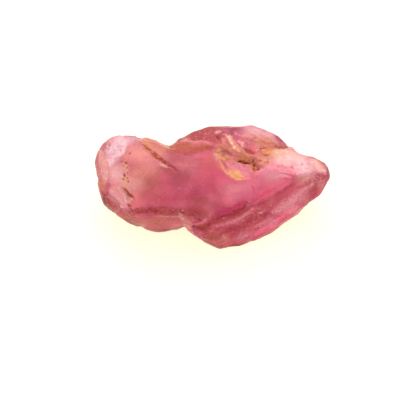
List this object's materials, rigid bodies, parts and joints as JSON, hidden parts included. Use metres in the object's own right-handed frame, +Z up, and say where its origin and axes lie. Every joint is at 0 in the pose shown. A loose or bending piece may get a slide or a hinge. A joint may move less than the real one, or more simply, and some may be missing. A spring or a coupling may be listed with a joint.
{
  "type": "rough garnet stone",
  "caption": "Rough piece of pink garnet with a rounded lobe and a longer wedge-shaped lobe joined at a waist, resting on a flat broken face.",
  "frame": {"origin": "under the middle of the stone, on the broken face it rests on", "axes": "+X along the stone towards its pointed tip, +Y towards its far side, +Z up from the face it rests on"},
  "size_m": [0.0182, 0.0086, 0.0067],
  "materials": {
    "garnet": "frosted, waxy broken crystal, see-through to light, with ochre stains in its cracks"
  },
  "bodies": {
    "root": {"garnet": "garnet"}
  },
  "joints": []
}
